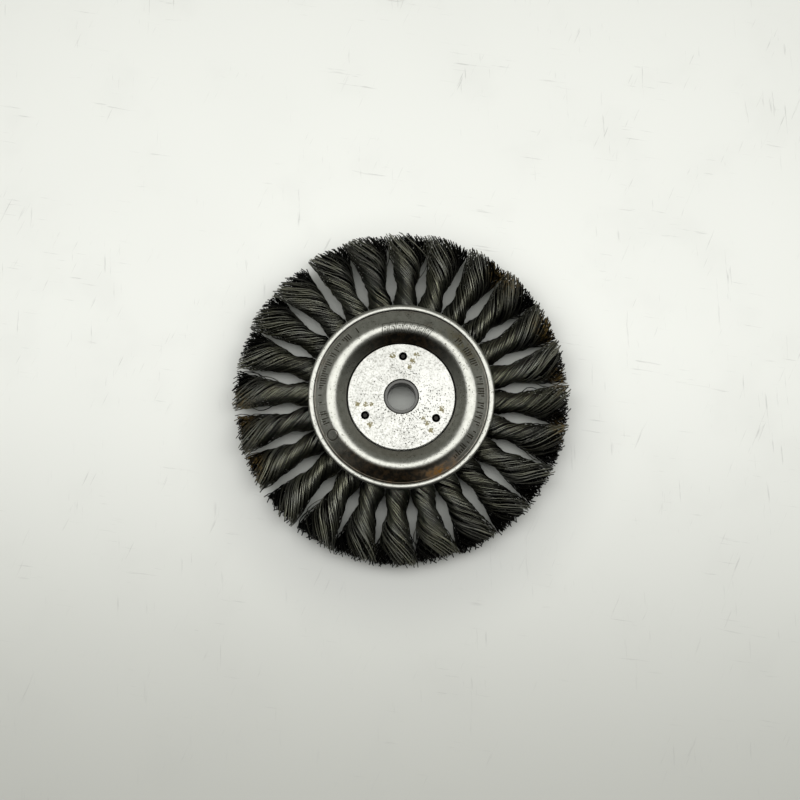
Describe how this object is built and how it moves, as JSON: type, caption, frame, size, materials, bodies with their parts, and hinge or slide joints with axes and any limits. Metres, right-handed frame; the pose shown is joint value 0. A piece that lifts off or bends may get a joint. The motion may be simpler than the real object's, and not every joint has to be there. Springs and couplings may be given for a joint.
{
  "type": "knotted wire wheel brush",
  "caption": "Round wire wheel brush with twisted steel knots held between two dished face plates, a riveted hub and an arbor adapter in its bore.",
  "frame": {"origin": "centre of the wheel, on the bore axis at mid thickness", "axes": "+Z along the bore axis towards the front face; +Y towards rivet_1 and knot_01"},
  "size_m": [0.154, 0.154, 0.0192],
  "materials": {
    "disc_steel": "bright plated, pitted and spotted with rust",
    "plate_steel": "satin plated, dulled and stained",
    "core_steel": "plain punched steel, dull",
    "rivet_steel": "dark staked steel",
    "adapter_plastic": "dull grey moulded nylon",
    "wire_steel": "dark oiled wire with lighter streaks and a little rust at the tips"
  },
  "bodies": {
    "wheel": {"core_plate": "core_steel", "front_face_plate": "plate_steel", "rear_face_plate": "plate_steel", "front_hub_disc": "disc_steel", "rear_hub_disc": "disc_steel", "rivet_1": "rivet_steel", "rivet_2": "rivet_steel", "rivet_3": "rivet_steel", "knot_01": "wire_steel", "knot_02": "wire_steel", "knot_03": "wire_steel", "knot_04": "wire_steel", "knot_05": "wire_steel", "knot_06": "wire_steel", "knot_07": "wire_steel", "knot_08": "wire_steel", "knot_09": "wire_steel", "knot_10": "wire_steel", "knot_11": "wire_steel", "knot_12": "wire_steel", "knot_13": "wire_steel", "knot_14": "wire_steel", "knot_15": "wire_steel", "knot_16": "wire_steel", "knot_17": "wire_steel", "knot_18": "wire_steel", "knot_19": "wire_steel", "knot_20": "wire_steel", "knot_21": "wire_steel", "knot_22": "wire_steel", "knot_23": "wire_steel", "knot_24": "wire_steel"},
    "adapter": {"arbor_adapter": "adapter_plastic"}
  },
  "joints": [
    {"name": "adapter_slide", "type": "slide", "parent": "wheel", "child": "adapter", "axis": [0, 0, 1], "range_m": [0, 0.015]}
  ]
}
